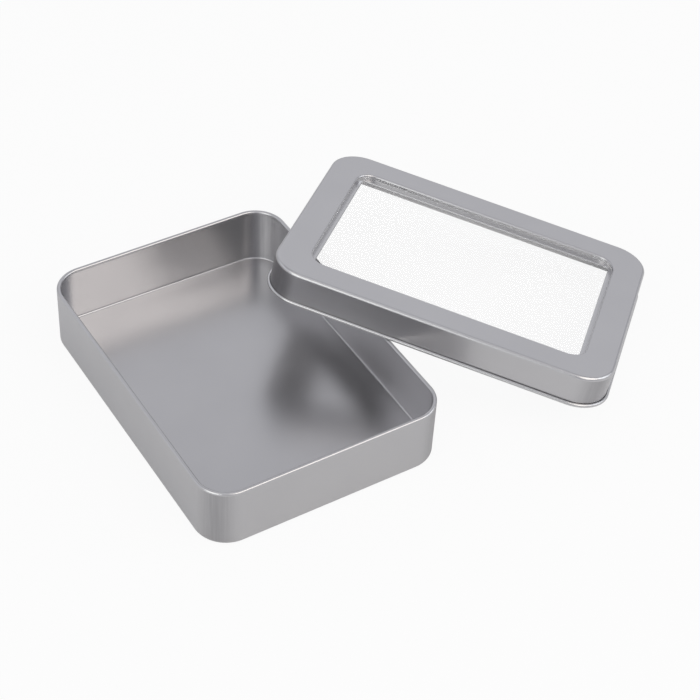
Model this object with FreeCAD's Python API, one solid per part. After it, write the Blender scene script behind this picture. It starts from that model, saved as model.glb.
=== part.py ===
import FreeCAD, Part
import math
import os

# A shallow rectangular tin with a slip lid, drawn from thin sheet and left open and empty.
# The tray stands on the ground. The lid is taken off and leans on one long rim of the tray,
# with one of its corners on the ground. Lengths are millimetres, angles are degrees.
# The origin is the centre of the tray's underside, Y runs along the tray, Z is up.

# --- sheet -------------------------------------------------------------------
SHEET = 0.3                  # thickness of the tinplate

# --- tray --------------------------------------------------------------------
TRAY_LENGTH = 120.0          # outside, along Y
TRAY_WIDTH = 88.0            # outside, along X
TRAY_HEIGHT = 23.0           # ground to the top of the rim
TRAY_CORNER_R = 11.4         # outside radius of the upright corners
FOOT_R = 1.0                 # outside radius where the wall turns into the floor
RIM_CURL_D = 1.5             # the rim is rolled inwards into this thickness

# --- lid ---------------------------------------------------------------------
LID_HEIGHT = 12.0            # top face to the bottom of the bead
LID_CLEARANCE = 0.3          # between the tray's wall and the inside of the skirt
LID_EDGE_R = 1.2             # outside radius where the top turns into the skirt
BEAD_D = 1.3                 # the skirt ends in an outward roll of this thickness
CURL_TURN = 280.0            # how far each roll turns; it stops short of its own wall

# --- window ------------------------------------------------------------------
FRAME_WIDTH = 10.5           # flat top face between the skirt's outside and the window's bend
WINDOW_CORNER_R = 7.0        # radius of the window's upper outline
WINDOW_BEND_R = 0.8          # outside radius where the top turns down into the window
WINDOW_DROP = 2.4            # top face to the ledge
LEDGE_WIDTH = 1.6            # the ledge that reaches inwards from the window's wall
LEDGE_THICKNESS = 0.7        # the ledge is folded back under itself
LEDGE_CORNER_R = 1.2         # radius of the ledge's inner outline
LEDGE_NOSE_R = 0.33          # rounding of the ledge's inner edge
PANE_THICKNESS = 0.4         # clear sheet bonded under the ledge

# --- how the lid leans ---------------------------------------------------------
LID_YAW = 131.15             # the lid's long side, turned from X about the upright
LID_REACH = 43.0             # lid centre beyond the rim it leans on, along the slope
LID_SHIFT = 4.2              # lid centre along the rim from the tray's middle
REST_GAP = 0.1               # left between the bead and the rim it leans on

# --- sizes that follow ---------------------------------------------------------
LID_INSIDE_OFFSET = LID_CLEARANCE + SHEET
LID_LENGTH = TRAY_LENGTH + 2 * LID_INSIDE_OFFSET
LID_WIDTH = TRAY_WIDTH + 2 * LID_INSIDE_OFFSET
LID_CORNER_R = TRAY_CORNER_R + LID_INSIDE_OFFSET
WINDOW_LENGTH = LID_LENGTH - 2 * FRAME_WIDTH
WINDOW_WIDTH = LID_WIDTH - 2 * FRAME_WIDTH
UP = FreeCAD.Vector(0, 0, 1)

# --- tolerances for comparing geometry -----------------------------------------
SAME_POINT = 1e-7            # two ends nearer than this are one point
LEVEL = 1e-6                 # an edge that rises less than this is level
OUTLINE_SLACK = 1e-3         # an edge this near an outline's box lies on it


def rounded_plate(length, width, corner_r, bottom, top):
    """Flat plate with rounded corners, length along Y, from z = bottom to z = top."""
    half_x = width / 2
    half_y = length / 2
    bend = corner_r * (1 - math.cos(math.pi / 4))
    edges = []
    for quarter in range(4):
        # One side and the corner after it, turned a quarter each time.
        along = (half_x, half_y)[quarter % 2]
        across = (half_y, half_x)[quarter % 2]
        start = FreeCAD.Vector(-along + corner_r, -across, bottom)
        end = FreeCAD.Vector(along - corner_r, -across, bottom)
        middle = FreeCAD.Vector(along - bend, -across + bend, bottom)
        corner_end = FreeCAD.Vector(along, -across + corner_r, bottom)
        corner = Part.Arc(end, middle, corner_end).toShape()
        for edge in (Part.makeLine(start, end), corner):
            edge.rotate(FreeCAD.Vector(0, 0, 0), UP, 90 * quarter)
            edges.append(edge)
    return Part.Face(Part.Wire(edges)).extrude(UP * (top - bottom))


def ring_of(profile, length, width, corner_r):
    """Carry a section round a rounded rectangle: four straight runs and four quarter turns.

    The section lies in the XZ plane, and its x is the distance from a corner's upright axis.
    """
    pieces = []
    for quarter in range(4):
        along = (length, width)[quarter % 2] / 2 - corner_r
        across = (width, length)[quarter % 2] / 2 - corner_r
        run = profile.extrude(FreeCAD.Vector(0, 2 * along, 0))
        run.translate(FreeCAD.Vector(across, -along, 0))
        turn = profile.revolve(FreeCAD.Vector(0, 0, 0), UP, 90)
        turn.translate(FreeCAD.Vector(across, along, 0))
        for piece in (run, turn):
            piece.rotate(FreeCAD.Vector(0, 0, 0), UP, 90 * quarter)
            pieces.append(piece)
    return fused(pieces)


def fused(pieces):
    """Join touching pieces into one solid and merge the faces that continue each other."""
    joined = pieces[0].multiFuse(pieces[1:]).removeSplitter()
    return joined.Solids[0]


def section(steps):
    """Closed section in the XZ plane. A step is ("line", x, z) or ("arc", cx, cz, r, from, to)."""
    edges = []
    here = None
    first = None
    for step in steps:
        if step[0] == "line":
            there = FreeCAD.Vector(step[1], 0, step[2])
            if here is None:
                first = there
            elif here.distanceToPoint(there) > SAME_POINT:
                edges.append(Part.makeLine(here, there))
            here = there
            continue
        _, cx, cz, radius, begin, end = step
        points = [polar(cx, cz, radius, angle) for angle in (begin, (begin + end) / 2, end)]
        if here is None:
            first = points[0]
        elif here.distanceToPoint(points[0]) > SAME_POINT:
            edges.append(Part.makeLine(here, points[0]))
        edges.append(Part.Arc(*points).toShape())
        here = points[2]
    if here.distanceToPoint(first) > SAME_POINT:
        edges.append(Part.makeLine(here, first))
    return Part.Face(Part.Wire(edges))


def polar(cx, cz, radius, angle):
    """Point of the XZ plane at an angle from +X, counted towards +Z."""
    turn = math.radians(angle)
    return FreeCAD.Vector(cx + radius * math.cos(turn), 0, cz + radius * math.sin(turn))


def make_tray():
    """Drawn tray: floor, foot bend, upright wall and a rim rolled inwards."""
    wall = TRAY_CORNER_R
    foot = wall - FOOT_R
    roll_r = RIM_CURL_D / 2
    roll_x = wall - roll_r
    roll_z = TRAY_HEIGHT - roll_r
    profile = section([
        ("arc", foot, FOOT_R, FOOT_R, -90, 0),
        ("arc", roll_x, roll_z, roll_r, 0, CURL_TURN),
        ("arc", roll_x, roll_z, roll_r - SHEET, CURL_TURN, 0),
        ("arc", foot, FOOT_R, FOOT_R - SHEET, 0, -90),
    ])
    walls = ring_of(profile, TRAY_LENGTH, TRAY_WIDTH, TRAY_CORNER_R)
    floor = rounded_plate(TRAY_LENGTH - 2 * FOOT_R, TRAY_WIDTH - 2 * FOOT_R, foot, 0, SHEET)
    return fused([walls, floor])


def make_skirt():
    """Edge bend, skirt and outward bead of the lid. The lid's top face is z = 0."""
    wall = LID_CORNER_R
    bend = wall - LID_EDGE_R
    roll_r = BEAD_D / 2
    roll_x = wall - SHEET + roll_r
    roll_z = roll_r - LID_HEIGHT
    profile = section([
        ("arc", bend, -LID_EDGE_R, LID_EDGE_R, 90, 0),
        ("arc", roll_x, roll_z, roll_r - SHEET, 180, 180 + CURL_TURN),
        ("arc", roll_x, roll_z, roll_r, 180 + CURL_TURN, 180),
        ("arc", bend, -LID_EDGE_R, LID_EDGE_R - SHEET, 0, 90),
    ])
    return ring_of(profile, LID_LENGTH, LID_WIDTH, LID_CORNER_R)


def make_window_wall():
    """The bend and the short wall that drop from the top face to the ledge."""
    outer = WINDOW_CORNER_R
    wall = outer - WINDOW_BEND_R
    profile = section([
        ("arc", outer, -WINDOW_BEND_R, WINDOW_BEND_R, 90, 180),
        ("line", wall, -WINDOW_DROP - LEDGE_THICKNESS),
        ("line", wall + SHEET, -WINDOW_DROP - LEDGE_THICKNESS),
        ("arc", outer, -WINDOW_BEND_R, WINDOW_BEND_R - SHEET, 180, 90),
    ])
    return ring_of(profile, WINDOW_LENGTH, WINDOW_WIDTH, WINDOW_CORNER_R)


def make_ledge():
    """Folded ledge round the window, narrower at the corners, with a rounded inner edge."""
    length = WINDOW_LENGTH - 2 * WINDOW_BEND_R
    width = WINDOW_WIDTH - 2 * WINDOW_BEND_R
    corner_r = WINDOW_CORNER_R - WINDOW_BEND_R
    under = -WINDOW_DROP - LEDGE_THICKNESS
    inner = (length - 2 * LEDGE_WIDTH, width - 2 * LEDGE_WIDTH, LEDGE_CORNER_R)
    plate = rounded_plate(length, width, corner_r, under, -WINDOW_DROP)
    ledge = plate.cut(rounded_plate(*inner, under, -WINDOW_DROP))
    reach = max(inner[0], inner[1]) / 2
    nose = [edge for edge in ledge.Edges if is_on_outline(edge, inner, reach)]
    return ledge.makeFillet(LEDGE_NOSE_R, nose)


def is_on_outline(edge, outline, reach):
    """Whether a level edge lies on a rounded rectangle given as length, width and corner."""
    box = edge.BoundBox
    level = box.ZLength < LEVEL
    inside = max(abs(box.XMin), abs(box.XMax)) < outline[1] / 2 + OUTLINE_SLACK
    return level and inside and max(abs(box.YMin), abs(box.YMax)) < reach + OUTLINE_SLACK


def make_lid_frame():
    """The lid's sheet: top face, skirt with its bead, and the window's wall and ledge."""
    edge = 2 * LID_EDGE_R
    top = rounded_plate(LID_LENGTH - edge, LID_WIDTH - edge, LID_CORNER_R - LID_EDGE_R, -SHEET, 0)
    hole = rounded_plate(WINDOW_LENGTH, WINDOW_WIDTH, WINDOW_CORNER_R, -SHEET, 0)
    return fused([top.cut(hole), make_skirt(), make_window_wall(), make_ledge()])


def make_pane():
    """Clear sheet, as large as the ledge and bonded against its underside."""
    bend = 2 * WINDOW_BEND_R
    top = -WINDOW_DROP - LEDGE_THICKNESS
    corner_r = WINDOW_CORNER_R - WINDOW_BEND_R
    size = (WINDOW_LENGTH - bend, WINDOW_WIDTH - bend, corner_r)
    return rounded_plate(*size, top - PANE_THICKNESS, top)


def lean_angle():
    """Slope at which the bead lies on the rim's roll and its far corner on the ground."""
    rim_r = RIM_CURL_D / 2
    bead_r = BEAD_D / 2
    bead_out = bead_r - SHEET                      # bead's centre line outside the skirt's face
    yaw = math.radians(LID_YAW)
    straight_x = LID_WIDTH / 2 - LID_CORNER_R
    straight_y = LID_LENGTH / 2 - LID_CORNER_R
    far = abs(math.sin(yaw)) * straight_x + abs(math.cos(yaw)) * straight_y
    run = LID_REACH + far + LID_CORNER_R + bead_out
    rise = rim_r + REST_GAP + bead_r
    drop = bead_r - TRAY_HEIGHT + rim_r
    return math.degrees(math.acos(drop / math.hypot(rise, run)) - math.atan2(run, rise))


def lean(shape):
    """Set a piece of the lid, made with the top face at z = 0, against the tray's rim."""
    angle = lean_angle()
    turn = FreeCAD.Rotation(UP, LID_YAW - 90)
    tilt = FreeCAD.Rotation(FreeCAD.Vector(0, 1, 0), -angle)
    rim_r = RIM_CURL_D / 2
    roll_centre = FreeCAD.Vector(rim_r - TRAY_WIDTH / 2, 0, TRAY_HEIGHT - rim_r)
    middle = FreeCAD.Vector(-LID_REACH, LID_SHIFT, rim_r + REST_GAP + LID_HEIGHT)
    placed = shape.copy()
    placed.Placement = FreeCAD.Placement(roll_centre + tilt.multVec(middle), tilt.multiply(turn))
    return placed


NODES = {
    "tray": make_tray(),
    "lid_frame": lean(make_lid_frame()),
    "window_pane": lean(make_pane()),
}

os.makedirs("parts", exist_ok=True)
for name, shape in NODES.items():
    shape.exportStep("parts/" + name + ".step")
    box = shape.BoundBox
    print(name, "valid", shape.isValid(), "volume", round(shape.Volume, 1), "solids", len(shape.Solids),
          "low", [round(v, 3) for v in (box.XMin, box.YMin, box.ZMin)],
          "high", [round(v, 3) for v in (box.XMax, box.YMax, box.ZMax)])
print("the lid leans at", round(lean_angle(), 2), "degrees")
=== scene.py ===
# %% [markdown]
# # A shallow tin with a slip lid, in satin tinplate
# The real thing is two pieces of thin tinned steel, pressed in dies: a tray whose rim is rolled
# inwards, and a lid with a folded window that holds a clear sheet. Nothing is soft and nothing is
# hinged, so the whole look rests on three things: true bends, a true satin metal, and light that
# gives the metal something to show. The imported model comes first, because every piece follows it.

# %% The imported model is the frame
import math

import bpy
import numpy as np
from mathutils import Matrix, Vector


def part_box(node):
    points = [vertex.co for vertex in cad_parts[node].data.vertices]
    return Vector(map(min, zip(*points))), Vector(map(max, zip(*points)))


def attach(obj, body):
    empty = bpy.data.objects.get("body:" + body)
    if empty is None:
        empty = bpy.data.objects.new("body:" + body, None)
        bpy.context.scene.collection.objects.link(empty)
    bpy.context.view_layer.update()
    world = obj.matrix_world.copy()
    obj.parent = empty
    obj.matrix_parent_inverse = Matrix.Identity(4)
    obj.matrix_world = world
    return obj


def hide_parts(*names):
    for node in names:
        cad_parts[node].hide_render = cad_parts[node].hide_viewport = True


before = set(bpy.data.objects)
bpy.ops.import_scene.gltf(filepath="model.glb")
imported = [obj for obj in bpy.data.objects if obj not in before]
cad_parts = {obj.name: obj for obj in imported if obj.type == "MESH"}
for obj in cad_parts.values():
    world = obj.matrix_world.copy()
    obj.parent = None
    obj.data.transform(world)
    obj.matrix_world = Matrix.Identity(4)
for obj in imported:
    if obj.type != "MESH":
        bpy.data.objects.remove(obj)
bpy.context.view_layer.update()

MM = 0.001

# %% [markdown]
# ## The sizes
# The tray's outside comes from its node's box. What a box can't tell, such as a bend's radius or
# the sheet's thickness, is named here in millimetres, as a press shop's drawing would. The lid's
# size follows from the tray's by the clearance of a slip fit.

# %% Sizes of the tray, in millimetres
tray_low, tray_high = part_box("tray")
TRAY_LENGTH = (tray_high.y - tray_low.y) / MM
TRAY_WIDTH = (tray_high.x - tray_low.x) / MM
TRAY_HEIGHT = (tray_high.z - tray_low.z) / MM
TRAY_CORNER_R = 11.4
SHEET = 0.3
FOOT_R = 1.0
RIM_ROLL_R = 0.75
ROLL_TURN = 280.0
print(f"tray {TRAY_LENGTH:.1f} x {TRAY_WIDTH:.1f} x {TRAY_HEIGHT:.1f} mm")

# %% Sizes of the lid and its window, in millimetres
CLEARANCE = 0.3
SLIP = CLEARANCE + SHEET
LID_LENGTH = TRAY_LENGTH + 2 * SLIP
LID_WIDTH = TRAY_WIDTH + 2 * SLIP
LID_CORNER_R = TRAY_CORNER_R + SLIP
LID_HEIGHT = 12.0
LID_EDGE_R = 1.2
BEAD_R = 0.65
FRAME_WIDTH = 10.5
WINDOW_CORNER_R = 7.0
WINDOW_BEND_R = 0.8
WINDOW_DROP = 2.4
LEDGE_WIDTH = 1.6
LEDGE_THICKNESS = 0.7
LEDGE_CORNER_R = 1.2
LEDGE_NOSE_R = 0.33
PANE_THICKNESS = 0.4
print(f"lid {LID_LENGTH:.1f} x {LID_WIDTH:.1f} x {LID_HEIGHT:.1f} mm")

# %% [markdown]
# ## Rounded outlines and lofts
# Every pressed piece here is a section carried round a rounded rectangle. It could be a curve with
# a bevel object, but then the floor and the folded window would be separate meshes with seams. A
# loft is simpler to trust: each row is one rounded rectangle at one height, all rows have the same
# number of points, and neighbouring rows are joined by quads.

# %% A rounded rectangle
CORNER_STEPS = 18
LONG_STEPS = 30
SHORT_STEPS = 22
QUARTER = math.pi / 2


def outline(half_x, half_y, radius):
    """Rounded rectangle, anticlockwise from the low end of its +X side.

    A point is an arc centre (+-(half_x - radius), +-(half_y - radius)) plus radius times the
    outward direction (cos a, sin a). Along a straight side the centre slides and a stays put.
    Each of the four sides, with the corner after it, is the first one turned by quarter turns.
    Returns centres and directions, so that a point is centre + radius * direction.
    """
    along_x = half_x - radius
    along_y = half_y - radius
    bend = np.linspace(0.0, QUARTER, CORNER_STEPS, endpoint=False)
    centres = []
    angles = []
    for side in range(4):
        half_run = (along_y, along_x)[side % 2]
        across = (along_x, along_y)[side % 2]
        steps = (LONG_STEPS, SHORT_STEPS)[side % 2]
        slide = np.linspace(-half_run, half_run, steps, endpoint=False)
        straight = np.column_stack([np.full(steps, across), slide])
        corner = np.tile([[across, half_run]], (CORNER_STEPS, 1))
        turn = side * QUARTER
        spin = np.array([[math.cos(turn), math.sin(turn)], [-math.sin(turn), math.cos(turn)]])
        centres.append(np.concatenate([straight, corner]) @ spin)
        angles.append(turn + np.concatenate([np.zeros(steps), bend]))
    angle = np.concatenate(angles)
    return np.concatenate(centres), np.column_stack([np.cos(angle), np.sin(angle)])


def ring(half_x, half_y, radius, height=0.0):
    """One row of a loft: the outline's points at one height, as an N x 3 array."""
    centre, direction = outline(half_x, half_y, radius)
    flat = centre + radius * direction
    return np.column_stack([flat, np.full(len(flat), height)])


ROW_POINTS = len(ring(1.0, 1.0, 0.1))
print("points in a row:", ROW_POINTS)


# %% Where a point lies round the outline
def path_length(points):
    """Length of a path from its first point to each of its points."""
    steps = np.linalg.norm(np.diff(points, axis=0), axis=1)
    return np.concatenate([[0.0], np.cumsum(steps)])


def round_the_corners(half_x, half_y, radius):
    """Each outline point's length round the outline, and its depth in a corner.

    The depth is sin(2a) squared for the outward direction's angle a, so it is 0 on every straight
    side and 1 in the middle of every corner.
    """
    centre, direction = outline(half_x, half_y, radius)
    length = path_length(centre + radius * direction)
    return length, (2 * direction[:, 0] * direction[:, 1]) ** 2


tray_round, tray_depth = round_the_corners(TRAY_WIDTH / 2, TRAY_LENGTH / 2, TRAY_CORNER_R)
print(f"round the tray: {tray_round[-1]:.0f} mm, corner depth up to {tray_depth.max():.2f}")

# %% Arcs and runs of a section
ARC_STEP = 12.0
ARC_LEAST_POINTS = 3
HOLD = 0.12
HOLD_SHARE = 0.2


def arc(cx, cz, radius, start, end):
    """Section points on an arc: (cx + r cos a, cz + r sin a) for a from start to end, in degrees."""
    count = max(ARC_LEAST_POINTS, int(abs(end - start) / ARC_STEP) + 1)
    a = np.radians(np.linspace(start, end, count))
    return np.column_stack([cx + radius * np.cos(a), cz + radius * np.sin(a)])


def run(start, end, steps):
    """Section points strictly between two points, with one held close to each end.

    The held points keep the smooth shading of a bend from creeping into the flat beside it.
    """
    start = np.asarray(start, float)
    end = np.asarray(end, float)
    length = np.linalg.norm(end - start)
    hold = min(HOLD, HOLD_SHARE * length)
    inner = np.linspace(hold, length - hold, steps + 1)
    return start + (end - start) * (inner / length)[:, None]


print("points on a quarter bend:", len(arc(0.0, 0.0, FOOT_R, 0, 90)))


# %% Joining rows into faces
def loft_faces(rows, closed):
    """Quads between neighbouring rows. Each row closes on itself, and the last on the first if closed."""
    row = np.arange(rows if closed else rows - 1)[:, None]
    col = np.arange(ROW_POINTS)[None, :]
    after_row = (row + 1) % rows
    after_col = (col + 1) % ROW_POINTS
    corners = [
        row * ROW_POINTS + col,
        row * ROW_POINTS + after_col,
        after_row * ROW_POINTS + after_col,
        after_row * ROW_POINTS + col,
    ]
    return np.stack([np.broadcast_to(c, (len(row), ROW_POINTS)) for c in corners], axis=-1).reshape(-1, 4)


def fan_faces(row_start, pole, flip):
    """Triangles from one row to a single pole point."""
    col = np.arange(ROW_POINTS)
    after = (col + 1) % ROW_POINTS
    pair = (after, col) if flip else (col, after)
    return np.column_stack([row_start + pair[0], row_start + pair[1], np.full(ROW_POINTS, pole)])


def capped_faces(rows):
    """Open loft with a fan at each end, to the two poles whose points follow the rows'."""
    pole = rows * ROW_POINTS
    return [
        loft_faces(rows, closed=False),
        fan_faces(0, pole, flip=True),
        fan_faces((rows - 1) * ROW_POINTS, pole + 1, flip=False),
    ]


print("faces in a capped tube of two rows:", sum(len(block) for block in capped_faces(2)))

# %% Making a mesh with its masks
SMOOTH_ANGLE = 50.0


def make_piece(name, points, face_blocks, sheet_uv, bend, drawn=None, smooth_angle=SMOOTH_ANGLE):
    """Mesh object at the origin from points in millimetres, with its sheet UV and its masks.

    sheet_uv is each point's place on the flat sheet before pressing, so that a pattern runs on
    from the floor up the walls. bend is 1 on a burnished bend and 0 on a flat. drawn is (depth in
    a corner, length round the outline, height) on the upright walls; the depth in a corner sets the
    draw marks and the painted shade in the corners.
    """
    mesh = bpy.data.meshes.new(name)
    faces = [face for block in face_blocks for face in block.tolist()]
    mesh.from_pydata((points * MM).tolist(), [], faces)
    mesh.validate()
    loops = np.empty(len(mesh.loops), dtype=np.int32)
    mesh.loops.foreach_get("vertex_index", loops)
    layer = mesh.uv_layers.new(name="sheet")
    layer.data.foreach_set("uv", (sheet_uv * MM)[loops].astype(np.float32).ravel())
    mask = mesh.attributes.new("bend", "FLOAT", "POINT")
    mask.data.foreach_set("value", bend.astype(np.float32))
    if drawn is not None:
        pulled_and_shaded = mesh.attributes.new("drawn", "FLOAT_VECTOR", "POINT")
        pulled_and_shaded.data.foreach_set("vector", (drawn * (1.0, MM, MM)).astype(np.float32).ravel())
    mesh.shade_smooth()
    mesh.set_sharp_from_angle(angle=math.radians(smooth_angle))
    piece = bpy.data.objects.new(name, mesh)
    bpy.context.scene.collection.objects.link(piece)
    print(name, len(mesh.vertices), "points,", len(mesh.polygons), "faces")
    return piece


def check_place(piece, node):
    """Print how far a piece's box lies from the box of the node it stands for, in millimetres."""
    places = np.empty(3 * len(piece.data.vertices), dtype=np.float32)
    piece.data.vertices.foreach_get("co", places)
    places = places.reshape(-1, 3)
    low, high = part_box(node)
    off_low = np.abs(places.min(axis=0) - np.array(low)).max()
    off_high = np.abs(places.max(axis=0) - np.array(high)).max()
    print(f"{piece.name} lies within {max(off_low, off_high) / MM:.3f} mm of {node}")


# %% [markdown]
# ## The tray
# A drawn tray is one sheet: flat floor, a small bend at the foot, an upright wall, and a rim that
# is rolled inwards until it nearly meets its own wall. It could be a solid with its inside cut
# out, but the roll is a thin curled lip that a cut can't give. The section starts at the middle of
# the underside, goes out, up, round the roll and back down inside to the middle of the floor, so
# the sheet has its real thickness and the mesh is closed. The masks say how much the press has
# burnished each part of the section and where it is an upright wall.

# %% The tray's section
NO_BURNISH = 0.0
FOOT_BURNISH = 0.2
EDGE_BURNISH = 0.3
FULL_BURNISH = 1.0
FOOT_WALL = 0.5
TRAY_WALL_STEPS = 10


def tray_section():
    """The section's points, and the burnish and wall masks along it."""
    wall_top = TRAY_HEIGHT - RIM_ROLL_R
    roll_end = 180 - ROLL_TURN
    outer_foot = arc(FOOT_R, FOOT_R, FOOT_R, 270, 180)
    outer_roll = arc(RIM_ROLL_R, wall_top, RIM_ROLL_R, 180, roll_end)
    inner_roll = arc(RIM_ROLL_R, wall_top, RIM_ROLL_R - SHEET, roll_end, 180)
    inner_foot = arc(FOOT_R, FOOT_R, FOOT_R - SHEET, 180, 270)
    parts = [
        (outer_foot, FOOT_BURNISH, FOOT_WALL),
        (run(outer_foot[-1], outer_roll[0], TRAY_WALL_STEPS), NO_BURNISH, 1.0),
        (outer_roll, EDGE_BURNISH, 0.0),
        (inner_roll, FULL_BURNISH, 0.0),
        (run(inner_roll[-1], inner_foot[0], TRAY_WALL_STEPS), NO_BURNISH, 1.0),
        (inner_foot, NO_BURNISH, FOOT_WALL),
    ]
    counts = [len(part) for part, _, _ in parts]
    points = np.concatenate([part for part, _, _ in parts])
    bend = np.repeat([burnish for _, burnish, _ in parts], counts)
    wall = np.repeat([upright for _, _, upright in parts], counts)
    return points, bend, wall


print("points in the tray's section:", len(tray_section()[0]))

# %% The tray's mesh
FLOOR_RINGS = 16


def make_tray():
    """Underside, wall, roll and floor lofted as one closed sheet.

    Each section point (inset, height) gives the rounded rectangle that lies that far inside the
    outline. The underside and the floor are the first and last row, shrunk towards a pole. On the
    flat sheet a row lies as far out from the foot as the sheet has travelled to it.
    """
    section, bend, wall = tray_section()
    half_x = TRAY_WIDTH / 2
    half_y = TRAY_LENGTH / 2
    travelled = path_length(section)
    blank = travelled[-1] / 2 - np.abs(travelled - travelled[-1] / 2)
    pressed = [ring(half_x - i, half_y - i, TRAY_CORNER_R - i, z) for i, z in section]
    flat_x, flat_y, flat_r = half_x - FOOT_R, half_y - FOOT_R, TRAY_CORNER_R - FOOT_R
    sheet = [ring(flat_x + out, flat_y + out, flat_r + out)[:, :2] for out in blank]
    shrink = np.linspace(1.0, 0.0, FLOOR_RINGS + 1)[1:-1]
    below = [pressed[0] * [s, s, 1.0] for s in shrink[::-1]]
    above = [pressed[-1] * [s, s, 1.0] for s in shrink]
    below_sheet = [sheet[0] * s for s in shrink[::-1]]
    above_sheet = [sheet[-1] * s for s in shrink]
    rows = np.concatenate(below + pressed + above)
    count = len(below) + len(pressed) + len(above)
    poles = np.array([[0.0, 0.0, 0.0], [0.0, 0.0, SHEET]])
    uv = np.concatenate(below_sheet + sheet + above_sheet + [np.zeros((2, 2))])
    flat = np.zeros(len(shrink))
    mask = np.append(np.repeat(np.concatenate([flat, bend, flat]), ROW_POINTS), [0.0, 0.0])
    upright = np.repeat(np.concatenate([flat, wall, flat]), ROW_POINTS)
    length, depth = round_the_corners(half_x, half_y, TRAY_CORNER_R)
    drawn = np.column_stack([upright * np.tile(depth, count), np.tile(length, count), rows[:, 2]])
    drawn = np.concatenate([drawn, np.zeros((2, 3))])
    return make_piece("tray_shell", np.concatenate([rows, poles]), capped_faces(count), uv, mask, drawn)


tray = make_tray()
check_place(tray, "tray")
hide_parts("tray")
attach(tray, "root")

# %% [markdown]
# ## The lid
# The lid is pressed the other way up: top face, skirt, and an outward roll at its mouth. Its window
# is cut out and the edge is folded down and in, so a narrow ledge holds the clear sheet. It could
# be a frame with a separate ledge set in, but the real one is a single sheet, and one loft shows no
# seam. The lid's section is a closed loop, so it has no poles. Two outlines meet in it: the lid's
# own, and the window's, whose ledge has tighter corners than its bend.

# %% The lid's section
SKIRT_STEPS = 4
FRAME_STEPS = 3
FOLD_STEPS = 2
LEDGE_SHARES = (0.35, 0.1)


def lid_rows():
    """Rows of the lid as (half x, half y, radius, height below the top face, burnish)."""
    half_x = LID_WIDTH / 2
    half_y = LID_LENGTH / 2
    window_x = half_x - FRAME_WIDTH
    window_y = half_y - FRAME_WIDTH
    fold = WINDOW_BEND_R
    hidden_fold = WINDOW_BEND_R - SHEET
    roll_x = SHEET - BEAD_R
    roll_z = BEAD_R - LID_HEIGHT
    under = -WINDOW_DROP - LEDGE_THICKNESS
    nose = LEDGE_WIDTH - LEDGE_NOSE_R

    def own(points, bend):
        return [(half_x - i, half_y - i, LID_CORNER_R - i, z, bend) for i, z in points]

    def window(points, bend):
        return [(window_x - i, window_y - i, WINDOW_CORNER_R - i, z, bend) for i, z in points]

    def ledge(points, bend):
        rows = []
        for i, z in points:
            share = min(i / LEDGE_WIDTH, 1.0)
            radius = (1 - share) * (WINDOW_CORNER_R - fold) + share * LEDGE_CORNER_R
            rows.append((window_x - fold - i, window_y - fold - i, radius, z, bend))
        return rows

    outer_edge = arc(LID_EDGE_R, -LID_EDGE_R, LID_EDGE_R, 90, 180)
    outer_roll = arc(roll_x, roll_z, BEAD_R - SHEET, 0, -ROLL_TURN)
    inner_roll = arc(roll_x, roll_z, BEAD_R, -ROLL_TURN, 0)
    inner_edge = arc(LID_EDGE_R, -LID_EDGE_R, LID_EDGE_R - SHEET, 180, 90)
    hidden_bend = arc(0, -fold, hidden_fold, 90, 0)
    seen_bend = arc(0, -fold, fold, 0, 90)
    low_nose = arc(nose, under + LEDGE_NOSE_R, LEDGE_NOSE_R, -90, 0)
    high_nose = arc(nose, -WINDOW_DROP - LEDGE_NOSE_R, LEDGE_NOSE_R, 0, 90)
    ledge_flat = [(share * LEDGE_WIDTH, -WINDOW_DROP) for share in LEDGE_SHARES]

    rows = own(outer_edge, EDGE_BURNISH)
    rows += own(run(outer_edge[-1], outer_roll[0], SKIRT_STEPS), NO_BURNISH)
    rows += own(outer_roll, FULL_BURNISH)
    rows += own(inner_roll, FULL_BURNISH)
    rows += own(run(inner_roll[-1], inner_edge[0], SKIRT_STEPS), NO_BURNISH)
    rows += own(inner_edge, FULL_BURNISH)
    rows += own(run((LID_EDGE_R, -SHEET), (FRAME_WIDTH, -SHEET), FRAME_STEPS), NO_BURNISH)[:-1]
    rows += window([(-HOLD, -SHEET)], NO_BURNISH)
    rows += window(hidden_bend, FULL_BURNISH)
    rows += window(run(hidden_bend[-1], (hidden_fold, under), FOLD_STEPS), FULL_BURNISH)
    rows += window([(hidden_fold, under), (fold, under)], FULL_BURNISH)
    rows += ledge(low_nose, FULL_BURNISH)
    rows += ledge(high_nose, FULL_BURNISH)
    rows += ledge(ledge_flat, NO_BURNISH)
    rows += window([(fold, -WINDOW_DROP)], FULL_BURNISH)
    rows += window(run((fold, -WINDOW_DROP), seen_bend[0], FOLD_STEPS), FULL_BURNISH)
    rows += window(seen_bend, NO_BURNISH)
    rows += window([(-HOLD, 0.0)], NO_BURNISH)
    rows += own(run((FRAME_WIDTH, 0.0), (LID_EDGE_R, 0.0), FRAME_STEPS), NO_BURNISH)[1:]
    return rows


print("rows in the lid:", len(lid_rows()))

# %% [markdown]
# ## How the lid leans
# A loose lid finds its own rest: its bead lies on the tray's rolled rim and its far corner on the
# ground. It could be placed by eye, but then it would float or sink a little, so the slope is
# worked out. The lid is first turned about the upright. With the rim's roll as pivot, the far
# bead's centre lies some way out and some way above it, and the slope t is the one that solves
# above * cos t - out * sin t = drop.

# %% The lean
LID_YAW = math.radians(131.15)
LID_REACH = 43.0
LID_SHIFT = 4.2
REST_GAP = 0.1


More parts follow.
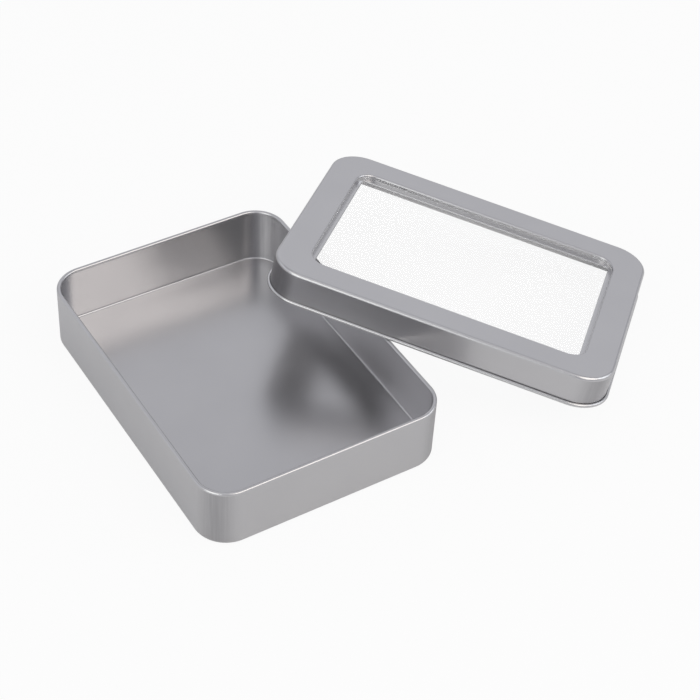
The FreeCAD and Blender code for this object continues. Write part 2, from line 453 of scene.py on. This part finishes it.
def lean_matrix():
    """Rotation and place, in metres, that set the lid's top-face frame against the rim."""
    half_diagonal = (abs(math.sin(LID_YAW)) * (LID_WIDTH / 2 - LID_CORNER_R)
                     + abs(math.cos(LID_YAW)) * (LID_LENGTH / 2 - LID_CORNER_R))
    out = LID_REACH + half_diagonal + LID_CORNER_R + BEAD_R - SHEET
    above = RIM_ROLL_R + REST_GAP + BEAD_R
    drop = BEAD_R - TRAY_HEIGHT + RIM_ROLL_R
    slope = math.acos(drop / math.hypot(above, out)) - math.atan2(out, above)
    tilt = Matrix.Rotation(-slope, 4, "Y")
    turn = Matrix.Rotation(LID_YAW - QUARTER, 4, "Z")
    roll = Vector((RIM_ROLL_R - TRAY_WIDTH / 2, 0, TRAY_HEIGHT - RIM_ROLL_R))
    middle = Vector((-LID_REACH, LID_SHIFT, RIM_ROLL_R + REST_GAP + LID_HEIGHT))
    print(f"the lid leans at {math.degrees(slope):.2f} degrees")
    return Matrix.Translation((roll + tilt @ middle) * MM) @ tilt @ turn


LEAN = lean_matrix()


# %% The lid's mesh
def lid_sheet(rows, travelled):
    """Each row's points on the flat sheet.

    The top face lies on itself. Beyond the edge bend the sheet's outline grows by the length
    travelled down to the bead's mouth, and shrinks again on the way back up.
    """
    mouth = int(np.argmin([row[3] for row in rows]))
    down = np.where(np.arange(len(rows)) <= mouth, travelled, 2 * travelled[mouth] - travelled)
    sheet = []
    for (half_x, half_y, radius, height, _), out in zip(rows, down):
        grow = max(out, 0.0)
        if out > 0 and height < -LID_EDGE_R:
            grow += LID_WIDTH / 2 - half_x
        sheet.append(ring(half_x + grow, half_y + grow, radius + grow)[:, :2])
    return np.concatenate(sheet)


def make_lid():
    """Loft the closed section round and lean it against the tray."""
    rows = lid_rows()
    count = len(rows)
    points = np.concatenate([ring(*row[:4]) for row in rows])
    travelled = path_length(np.array([(row[0], row[3]) for row in rows]))
    # The section runs the other way round from the tray's, so the quads are turned to face outwards.
    faces = loft_faces(count, closed=True)[:, ::-1]
    bend = np.repeat([row[4] for row in rows], ROW_POINTS)
    length, depth = round_the_corners(LID_WIDTH / 2, LID_LENGTH / 2, LID_CORNER_R)
    skirt = [row[0] > LID_WIDTH / 2 - LID_EDGE_R and row[4] == NO_BURNISH for row in rows]
    pulled_and_shaded = np.repeat(np.array(skirt, float), ROW_POINTS) * np.tile(depth, count)
    drawn = np.column_stack([pulled_and_shaded, np.tile(length, count), points[:, 2]])
    piece = make_piece("lid_shell", points, [faces], lid_sheet(rows, travelled), bend, drawn)
    piece.data.transform(LEAN)
    piece.data.update()
    return piece


lid = make_lid()
check_place(lid, "lid_frame")
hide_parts("lid_frame")
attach(lid, "root")

# %% [markdown]
# ## The clear pane
# The window is a flat sheet of clear plastic, bonded under the ledge. A single plane would refract
# wrongly, so it is a closed plate with its real thickness and a broken edge.

# %% The pane's mesh
PANE_EDGE = 0.06
PANE_RINGS = 5
PANE_SMOOTH_ANGLE = 20.0


def make_pane():
    """Closed plate: two poles, a few rings on each face, and a small chamfer round the rim."""
    half_x = LID_WIDTH / 2 - FRAME_WIDTH - WINDOW_BEND_R
    half_y = LID_LENGTH / 2 - FRAME_WIDTH - WINDOW_BEND_R
    radius = WINDOW_CORNER_R - WINDOW_BEND_R
    top = -WINDOW_DROP - LEDGE_THICKNESS
    low = top - PANE_THICKNESS
    shrink = np.linspace(1.0, 0.0, PANE_RINGS + 1)[:-1]
    inner = (half_x - PANE_EDGE, half_y - PANE_EDGE, radius - PANE_EDGE)
    below = [ring(*inner, low) * [s, s, 1.0] for s in shrink[::-1]]
    rim = [ring(half_x, half_y, radius, height) for height in (low + PANE_EDGE, top - PANE_EDGE)]
    above = [ring(*inner, top) * [s, s, 1.0] for s in shrink]
    rows = below + rim + above
    points = np.concatenate(rows + [np.array([[0.0, 0.0, low], [0.0, 0.0, top]])])
    piece = make_piece("lid_pane", points, capped_faces(len(rows)), points[:, :2], np.zeros(len(points)),
                       smooth_angle=PANE_SMOOTH_ANGLE)
    piece.data.transform(LEAN)
    piece.data.update()
    return piece


pane = make_pane()
check_place(pane, "window_pane")
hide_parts("window_pane")
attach(pane, "root")

# %% [markdown]
# ## Satin tinplate
# The real finish is tin, a pale grey metal, flowed over cold-rolled steel. The rolls leave a very
# fine grain, the tin leaves faint clouds, the press burnishes tight bends, drawing marks the
# corners, and handling adds hairline scratches. The corners are also darkened in colour, which is
# painted shade. It could be an anisotropic shader, but satin tin shows round soft highlights, so
# plain roughness with a grain in it is nearer. Each of these marks is a node group of its own,
# because both tins carry all of them, and the helpers below keep the groups short.

# %% Small helpers for node trees
def group_tree(name, inputs, outputs):
    """Shader node group with inputs (name, kind, default) and outputs that are plain numbers."""
    tree = bpy.data.node_groups.new(name, "ShaderNodeTree")
    for label, kind, default in inputs:
        socket = tree.interface.new_socket(name=label, in_out="INPUT", socket_type=kind)
        if default is not None:
            socket.default_value = default
    for label in outputs:
        tree.interface.new_socket(name=label, in_out="OUTPUT", socket_type="NodeSocketFloat")
    source = tree.nodes.new("NodeGroupInput")
    sink = tree.nodes.new("NodeGroupOutput")
    return tree, source.outputs, sink.inputs


def put(socket, value):
    """Link a value that is a socket, or set a value that is a number or a tuple."""
    if isinstance(value, bpy.types.NodeSocket):
        socket.id_data.links.new(value, socket)
    else:
        socket.default_value = value


def math_node(tree, operation, *values, clamp=False):
    """Math node on one to three values; returns its output."""
    node = tree.nodes.new("ShaderNodeMath")
    node.operation = operation
    node.use_clamp = clamp
    for socket, value in zip(node.inputs, values):
        put(socket, value)
    return node.outputs[0]


def remap(tree, value, low, high, to_low, to_high):
    """Value from low..high to to_low..to_high, smooth at both ends and held outside them."""
    node = tree.nodes.new("ShaderNodeMapRange")
    node.interpolation_type = "SMOOTHSTEP"
    limits = {"Value": value, "From Min": low, "From Max": high, "To Min": to_low, "To Max": to_high}
    for label, number in limits.items():
        put(node.inputs[label], number)
    return node.outputs["Result"]


def stretched(tree, vector, scale=(1.0, 1.0, 1.0), turn=0.0):
    """Vector turned about Z by an angle in degrees, then scaled, by two Mapping nodes."""
    turned = tree.nodes.new("ShaderNodeMapping")
    turned.inputs["Rotation"].default_value = (0.0, 0.0, math.radians(turn))
    put(turned.inputs["Vector"], vector)
    scaled = tree.nodes.new("ShaderNodeMapping")
    scaled.inputs["Scale"].default_value = scale
    put(scaled.inputs["Vector"], turned.outputs["Vector"])
    return scaled.outputs["Vector"]


def noise(tree, vector, scale=1.0, detail=3.0, roughness=0.5):
    """Noise texture; returns its grey output, which stays near 0.5."""
    node = tree.nodes.new("ShaderNodeTexNoise")
    put(node.inputs["Vector"], vector)
    node.inputs["Scale"].default_value = scale
    node.inputs["Detail"].default_value = detail
    node.inputs["Roughness"].default_value = roughness
    return node.outputs["Fac"]


EFFECTS = {}
print("helpers ready; groups so far:", len(EFFECTS))

# %% [markdown]
# ## The rolling grain
# Cold rolling leaves fine lines along the sheet, and broader streaks with them. A noise that is
# squeezed across the sheet and drawn out along it gives both, at two scales. It is laid on the
# flat sheet's own coordinates, so it runs on from the floor up the walls as in the blank.

# %% The rolling grain, shared by both tins
GRAIN_STRETCH = (7000.0, 260.0, 1.0)
STREAK_STRETCH = (900.0, 22.0, 1.0)
GRAIN_DETAIL = 2.0
STREAK_DETAIL = 4.0
STREAK_PART = 0.55
FINE_PART = 0.45


def rolling_grain():
    """Fine lines from the mill's rolls and broader streaks, both drawn out along the sheet.

    Grain is the fine noise blended with the streaks and stays near 0.5. Height is for a bump.
    """
    tree, source, sink = group_tree(
        "rolling_grain", [("Sheet", "NodeSocketVector", None)], ["Grain", "Height"])
    fine = noise(tree, stretched(tree, source["Sheet"], GRAIN_STRETCH), detail=GRAIN_DETAIL)
    broad = noise(tree, stretched(tree, source["Sheet"], STREAK_STRETCH), detail=STREAK_DETAIL)
    share = math_node(tree, "MULTIPLY", fine, FINE_PART)
    put(sink["Grain"], math_node(tree, "MULTIPLY_ADD", broad, STREAK_PART, share))
    put(sink["Height"], fine)
    return tree


EFFECTS["grain"] = rolling_grain()
print("rolling grain has", len(EFFECTS["grain"].nodes), "nodes")

# %% [markdown]
# ## Clouds and scratches
# Flowed tin is a little duller in some places than in others, and lids and trays scratch each
# other when they are stacked. Clouds are a slow noise. Scratches could be drawn as curves, but a
# line where a drawn-out noise crosses its middle value is as thin and as straight, costs nothing,
# and is cut short by a second, slower noise. The clear sheet uses the same group for its scuffs.

# %% Clouds of duller tin, and the marks that handling leaves
CLOUD_SCALE = 34.0
CLOUD_DETAIL = 2.0
CLOUD_SPAN = (0.3, 0.7)
SCRATCH_STRETCH = (620.0, 7.0, 1.0)
SCRATCH_WIDTH = 0.006
SCRATCH_TURNS = (24.0, -41.0, 78.0)
PATCH_SCALE = 90.0
PATCH_DETAIL = 1.0
PATCH_SPAN = (0.62, 0.7)
NOISE_MIDDLE = 0.5


def handling_marks():
    """Clouds and scratches.

    Clouds is a slow noise stretched to 0..1. Scratches is where noise drawn out into lines
    crosses its middle value, in three directions, let through only where a slower noise is
    high, so that each scratch is short.
    """
    tree, source, sink = group_tree(
        "handling_marks", [("Sheet", "NodeSocketVector", None)], ["Clouds", "Scratches"])
    slow = noise(tree, source["Sheet"], CLOUD_SCALE, CLOUD_DETAIL)
    put(sink["Clouds"], remap(tree, slow, *CLOUD_SPAN, 0.0, 1.0))
    total = 0.0
    for turn in SCRATCH_TURNS:
        lines = noise(tree, stretched(tree, source["Sheet"], SCRATCH_STRETCH, turn), detail=0.0)
        level = math_node(tree, "ABSOLUTE", math_node(tree, "SUBTRACT", lines, NOISE_MIDDLE))
        crest = remap(tree, level, 0.0, SCRATCH_WIDTH, 1.0, 0.0)
        patch = noise(tree, stretched(tree, source["Sheet"], turn=turn), PATCH_SCALE, PATCH_DETAIL)
        short = math_node(tree, "MULTIPLY", crest, remap(tree, patch, *PATCH_SPAN, 0.0, 1.0))
        total = math_node(tree, "MAXIMUM", short, total)
    put(sink["Scratches"], total)
    return tree


EFFECTS["marks"] = handling_marks()
print("handling marks have", len(EFFECTS["marks"].nodes), "nodes")

# %% [markdown]
# ## Burnish on the bends
# Where the die pulls the sheet round a tight bend, the tin is rubbed brighter and smoother, so a
# bend throws a crisper glint than a flat. Geometry's Pointiness could find the bends, but it
# depends on the mesh, so the mask that the section itself wrote is surer. A noise breaks it up.

# %% Burnish
BURNISH_SCALE = 420.0
BURNISH_SPAN = (0.3, 0.6)
BURNISH_LEAST = 0.85


def bend_burnish():
    """Burnish: the bend mask of 0 to 1, broken up a little by noise, times Amount."""
    tree, source, sink = group_tree(
        "bend_burnish",
        [("Bend", "NodeSocketFloat", 0.0), ("Sheet", "NodeSocketVector", None),
         ("Amount", "NodeSocketFloat", 1.0)],
        ["Burnish"])
    rubbed = noise(tree, source["Sheet"], BURNISH_SCALE)
    broken = remap(tree, rubbed, *BURNISH_SPAN, BURNISH_LEAST, 1.0)
    masked = math_node(tree, "MULTIPLY", source["Bend"], broken)
    put(sink["Burnish"], math_node(tree, "MULTIPLY", masked, source["Amount"], clamp=True))
    return tree


EFFECTS["burnish"] = bend_burnish()
print("bend burnish has", len(EFFECTS["burnish"].nodes), "nodes")

# %% [markdown]
# ## Draw marks and painted shade in the corners
# In a corner the sheet is squeezed together as it is drawn up, and it leaves the die with a duller,
# streaked wall there. The same mask also darkens the corners' colour well below the tin's, which
# is painted shade: a darker reflection painted into the colour. The streaks run up the wall, so
# their pattern needs a coordinate that goes round the outline. The UV map has none, because it is
# the flat sheet's, and an attribute of the piece carries it, with the depth in the corner as a mask.

# %% Draw marks, and painted shade in the corners
DRAW_STRETCH = (0.0, 1500.0, 45.0)
DRAW_DETAIL = 3.0
DRAW_SPAN = (0.25, 0.75)
DRAW_LEAST = 0.7


def draw_marks_and_shade():
    """The output is the corner mask times streaks that run up the wall, from 0 to 1.
    In the tin it darkens the corners' colour as painted shade and adds a little roughness.

    Drawn is the piece's own attribute: depth in a corner, length round the outline, height.
    """
    tree, source, sink = group_tree("draw_marks_and_shade", [("Drawn", "NodeSocketVector", None)], ["Draw"])
    parts = tree.nodes.new("ShaderNodeSeparateXYZ")
    put(parts.inputs["Vector"], source["Drawn"])
    streak = noise(tree, stretched(tree, source["Drawn"], DRAW_STRETCH), detail=DRAW_DETAIL)
    streaked = remap(tree, streak, *DRAW_SPAN, DRAW_LEAST, 1.0)
    put(sink["Draw"], math_node(tree, "MULTIPLY", parts.outputs["X"], streaked))
    return tree


EFFECTS["draw_and_shade"] = draw_marks_and_shade()
print("node groups:", [tree.name for tree in EFFECTS.values()])

# %% [markdown]
# ## The two tins
# Tray and lid come from the same coil, so one function makes both materials. It could be a single
# material on both, but each piece has a slot of its own, and a maker may want to print or lacquer
# the lid alone. The marks change colour and roughness only a little, as satin tin is an even metal,
# except the painted shade, which darkens the corners a good deal.

# %% Colours and roughness of tin
TIN = (0.580, 0.575, 0.586)
TIN_DULL = (0.566, 0.561, 0.573)
TIN_BRIGHT = (0.620, 0.616, 0.624)
# Painted shade: the corners' colour is far darker than tin, a darker reflection painted into the colour; a
# little of it is a duller draw finish.
TIN_DRAWN_AND_SHADED = (0.390, 0.386, 0.398)
FLAT_ROUGHNESS = 0.30
BEND_ROUGHNESS = 0.27
GRAIN_ROUGHNESS = 0.03
CLOUD_ROUGHNESS = 0.015
SCRATCH_ROUGHNESS = 0.10
DRAW_ROUGHNESS = 0.04
GRAIN_DEPTH = 0.00000015
GRAIN_TURN = 90.0
BURNISH_AMOUNT = 1.0
print(f"tin is {TIN}, rough {FLAT_ROUGHNESS} on a flat and {BEND_ROUGHNESS} on a bend")


# %% Materials from groups
def new_material(name):
    """Material with an empty tree, its Principled shader wired to the output."""
    material = bpy.data.materials.new(name)
    material.use_nodes = True
    tree = material.node_tree
    tree.nodes.clear()
    shader = tree.nodes.new("ShaderNodeBsdfPrincipled")
    output = tree.nodes.new("ShaderNodeOutputMaterial")
    put(output.inputs["Surface"], shader.outputs["BSDF"])
    return material, tree, shader


def place(tree, effect, **values):
    """Put a node group in a material, with its named inputs; returns its outputs."""
    node = tree.nodes.new("ShaderNodeGroup")
    node.node_tree = EFFECTS[effect]
    for label, value in values.items():
        put(node.inputs[label], value)
    return node.outputs


def sheet_map(tree):
    """The piece's own UV map, which is its place on the flat sheet."""
    sheet = tree.nodes.new("ShaderNodeUVMap")
    sheet.uv_map = "sheet"
    return sheet.outputs["UV"]


def attribute(tree, name):
    """Outputs of one of the piece's own attributes."""
    node = tree.nodes.new("ShaderNodeAttribute")
    node.attribute_name = name
    return node.outputs


def blend_colour(tree, share, first, second):
    """Mix of two colours by a share of 0 to 1."""
    node = tree.nodes.new("ShaderNodeMix")
    node.data_type = "RGBA"
    put(node.inputs["Factor"], share)
    for label, colour in (("A", first), ("B", second)):
        socket = [s for s in node.inputs if s.name == label and s.type == "RGBA"][0]
        put(socket, colour if isinstance(colour, bpy.types.NodeSocket) else (*colour, 1.0))
    return [s for s in node.outputs if s.type == "RGBA"][0]


# %% The tinplate itself
def tinplate(name, grain_turn, burnish):
    """Satin tinplate with its grain turned by an angle and its bends burnished by an amount.

    Colour goes from dull tin to tin by the clouds, then to the dark corner colour, which is painted
    shade, and to burnished tin by their masks. Roughness starts at the flat's and takes each mark's share.
    """
    material, tree, shader = new_material(name)
    along = stretched(tree, sheet_map(tree), turn=grain_turn)
    grain = place(tree, "grain", Sheet=along)
    marks = place(tree, "marks", Sheet=along)
    worn = place(tree, "burnish", Bend=attribute(tree, "bend")["Fac"], Sheet=along, Amount=burnish)
    pulled_and_shaded = place(tree, "draw_and_shade", Drawn=attribute(tree, "drawn")["Vector"])
    colour = blend_colour(tree, marks["Clouds"], TIN_DULL, TIN)
    # Painted shade: the corner mask darkens the colour towards the much darker corner tin.
    colour = blend_colour(tree, pulled_and_shaded["Draw"], colour, TIN_DRAWN_AND_SHADED)
    colour = blend_colour(tree, worn["Burnish"], colour, TIN_BRIGHT)
    put(shader.inputs["Base Color"], colour)
    shader.inputs["Metallic"].default_value = 1.0
    rough = FLAT_ROUGHNESS - GRAIN_ROUGHNESS / 2
    for mark, amount in (
        (grain["Grain"], GRAIN_ROUGHNESS),
        (marks["Clouds"], -CLOUD_ROUGHNESS),
        (marks["Scratches"], SCRATCH_ROUGHNESS),
        (pulled_and_shaded["Draw"], DRAW_ROUGHNESS),
        (worn["Burnish"], BEND_ROUGHNESS - FLAT_ROUGHNESS),
    ):
        rough = math_node(tree, "MULTIPLY_ADD", mark, amount, rough)
    put(shader.inputs["Roughness"], rough)
    bump = tree.nodes.new("ShaderNodeBump")
    bump.inputs["Distance"].default_value = GRAIN_DEPTH
    put(bump.inputs["Height"], math_node(tree, "SUBTRACT", grain["Height"], marks["Scratches"]))
    put(shader.inputs["Normal"], bump.outputs["Normal"])
    print(name, "has", len(tree.nodes), "nodes")
    return material


tray.data.materials.append(tinplate("tray_satin_tinplate", GRAIN_TURN, BURNISH_AMOUNT))
lid.data.materials.append(tinplate("lid_satin_tinplate", GRAIN_TURN, BURNISH_AMOUNT))

# %% [markdown]
# ## Clear plastic
# The window is stiff clear film, so clear that only its glints and a few scuffs show it is there.
# Glass alone would darken what lies behind it and throw a solid shadow, because Cycles lets no lamp
# through glass. So Alpha lets most of the light straight through, and more of the sheet is there
# for an eye that looks along it than for one that looks square at it, as on real film.

# %% The clear sheet
PANE_TINT = (0.97, 0.98, 0.98)
PANE_IOR = 1.57
PANE_ROUGHNESS = 0.04
PANE_HAZE = 0.05
PANE_SCUFF = 0.25
PANE_BODY = 0.03
PANE_SHADE = 0.8
SCHLICK_POWER = 5.0


def clear_sheet(name):
    """Glassy film. Alpha is a small body plus (1 - cosine) to the fifth, and less for lamps."""
    material, tree, shader = new_material(name)
    marks = place(tree, "marks", Sheet=sheet_map(tree))
    shader.inputs["Base Color"].default_value = (*PANE_TINT, 1.0)
    shader.inputs["IOR"].default_value = PANE_IOR
    shader.inputs["Transmission Weight"].default_value = 1.0
    rough = math_node(tree, "MULTIPLY_ADD", marks["Clouds"], PANE_HAZE, PANE_ROUGHNESS)
    put(shader.inputs["Roughness"], math_node(tree, "MULTIPLY_ADD", marks["Scratches"], PANE_SCUFF, rough))
    slant = tree.nodes.new("ShaderNodeLayerWeight")
    path = tree.nodes.new("ShaderNodeLightPath")
    gloss = math_node(tree, "POWER", slant.outputs["Facing"], SCHLICK_POWER)
    body = math_node(tree, "MULTIPLY_ADD", gloss, 1.0 - PANE_BODY, PANE_BODY)
    shade = math_node(tree, "MULTIPLY_ADD", path.outputs["Is Shadow Ray"], -PANE_SHADE, 1.0)
    put(shader.inputs["Alpha"], math_node(tree, "MULTIPLY", body, shade))
    print(name, "has", len(tree.nodes), "nodes")
    return material


pane.data.materials.append(clear_sheet("clear_sheet"))

# %% [markdown]
# ## The floor
# The tin stands on one large plain sheet, which isn't part of it. It could be a curved studio
# backdrop, but metal mirrors every bend of that, and a flat floor is calmer. The eye sees it nearly
# white, with the tin's soft shadow on it. The tin itself mirrors a paler grey, because a floor as
# bright as a lamp would wash the shape out of every upright wall.

# %% The floor
FLOOR_SIZE = 4.0
FLOOR_DEPTH = 0.0002
FLOOR_COLOUR = (0.75, 0.75, 0.75)
FLOOR_ROUGHNESS = 0.9
FLOOR_SPECULAR = 0.1
FLOOR_SEEN = 0.92
FLOOR_MIRRORED = 0.2


def pale_floor(name):
    """Matt floor, mixed with a plain white glow by the kind of ray that looks at it."""
    material, tree, shader = new_material(name)
    shader.inputs["Base Color"].default_value = (*FLOOR_COLOUR, 1.0)
    shader.inputs["Roughness"].default_value = FLOOR_ROUGHNESS
    shader.inputs["Specular IOR Level"].default_value = FLOOR_SPECULAR
    glow = tree.nodes.new("ShaderNodeEmission")
    glow.inputs["Strength"].default_value = 1.0
    rays = tree.nodes.new("ShaderNodeLightPath").outputs
    straight = math_node(tree, "MAXIMUM", rays["Is Camera Ray"], rays["Is Transmission Ray"])
    seen = math_node(tree, "MULTIPLY", straight, FLOOR_SEEN)
    mirrored = math_node(tree, "MULTIPLY", rays["Is Glossy Ray"], FLOOR_MIRRORED)
    mix = tree.nodes.new("ShaderNodeMixShader")
    put(mix.inputs["Fac"], math_node(tree, "MAXIMUM", seen, mirrored))
    put(mix.inputs[1], shader.outputs["BSDF"])
    put(mix.inputs[2], glow.outputs["Emission"])
    put(tree.nodes["Material Output"].inputs["Surface"], mix.outputs["Shader"])
    return material


def make_floor():
    """A square of side FLOOR_SIZE round the origin, just under the tin."""
    corners = np.array([(-1, -1), (1, -1), (1, 1), (-1, 1)]) * FLOOR_SIZE / 2
    mesh = bpy.data.meshes.new("floor")
    mesh.from_pydata(np.column_stack([corners, np.full(4, -FLOOR_DEPTH)]).tolist(), [], [(0, 1, 2, 3)])
    mesh.materials.append(pale_floor("pale_floor"))
    floor = bpy.data.objects.new("floor", mesh)
    bpy.context.scene.collection.objects.link(floor)
    return floor


print("floor spans", [round(side, 2) for side in make_floor().dimensions])

# %% [markdown]
# ## Light
# Metal has no shading of its own. It shows what surrounds it, so the lamps are large soft panels
# whose mirror images fall where the metal should be bright. One warm panel on the right gives the
# glow at the tray's far end, two on the left give the corners their streaks, a cool one far round
# to the right lights the lid's skirt, and dim panels stand in for the walls of a room. Each panel's
# power follows from how bright it should look, because a viewer of metal sees the panel itself:
# radiance times pi times its area.

# %% Soft lamps around the tin
EYE_BEARING = 55.9
LAMP_DISTANCE = 1.25
MIDDLE = Vector((-0.045, 0.0, 0.015))
WARM = (1.0, 0.94, 0.86)
GREENISH = (0.97, 1.0, 0.96)
COOL = (0.95, 0.98, 1.0)
WHITE = (1.0, 1.0, 1.0)
# Each panel: name, bearing to the right of the camera's, height angle, size, radiance, colour.
PANELS = [
    ("key_box", 57, 46, (1.0, 0.85), 1.62, WARM),
    ("left_low", -33, 27, (0.85, 0.80), 1.36, GREENISH),
    ("left_high", -42, 56, (0.75, 0.45), 0.80, WARM),
    ("left_wall", -95, 32, (1.1, 0.9), 0.3, WHITE),
    ("right_wall", 97, 25, (0.75, 0.6), 1.3, COOL),
    ("back_wall", 180, 32, (1.7, 0.9), 0.24, WHITE),
    ("top_panel", 0, 90, (0.6, 0.6), 0.3, WHITE),
]


def soft_lamp(name, bearing, height, size, radiance, colour):
    """Rectangular panel that looks at the tin, as bright in itself as its radiance says."""
    a = math.radians(EYE_BEARING + bearing)
    e = math.radians(height)
    where = Vector((math.cos(e) * math.cos(a), math.cos(e) * math.sin(a), math.sin(e))) * LAMP_DISTANCE
    lamp = bpy.data.lights.new(name, "AREA")
    lamp.shape = "RECTANGLE"
    lamp.size = size[0]
    lamp.size_y = size[1]
    lamp.energy = radiance * math.pi * size[0] * size[1]
    lamp.color = colour
    holder = bpy.data.objects.new(name, lamp)
    holder.location = where
    holder.rotation_euler = (MIDDLE - where).to_track_quat("-Z", "Y").to_euler()
    bpy.context.scene.collection.objects.link(holder)
    print(f"{name}: {lamp.energy:.2f} W")


for panel in PANELS:
    soft_lamp(*panel)

# %% The world
WORLD_COLOUR = (0.49, 0.495, 0.525)
world = bpy.data.worlds.new("studio")
world.use_nodes = True
world.node_tree.nodes["Background"].inputs["Color"].default_value = (*WORLD_COLOUR, 1.0)
bpy.context.scene.world = world
print("the room around the lamps is", WORLD_COLOUR)

# %% [markdown]
# ## Camera
# A long lens from well above shows the inside of the tray and the window at once. The camera is set
# by where it stands, where it looks and which way is right, so its picture can't roll by accident.

# %% The camera
EYE = Vector((222.37, 393.14, 442.11)) * MM
RIGHT = Vector((-0.85188, 0.52145, 0.04891))
LOOK = Vector((-0.40976, -0.6054, -0.68234))
LENS = 94.6
camera_data = bpy.data.cameras.new("camera")
camera_data.lens = LENS
camera = bpy.data.objects.new("camera", camera_data)
axes = Matrix((RIGHT, RIGHT.cross(LOOK), -LOOK)).transposed()
camera.matrix_world = Matrix.Translation(EYE) @ axes.to_4x4()
bpy.context.scene.collection.objects.link(camera)
bpy.context.scene.camera = camera
bpy.context.scene.view_settings.view_transform = "Standard"
print(f"camera {EYE.length:.3f} m from the tray's middle, lens {camera_data.lens} mm")
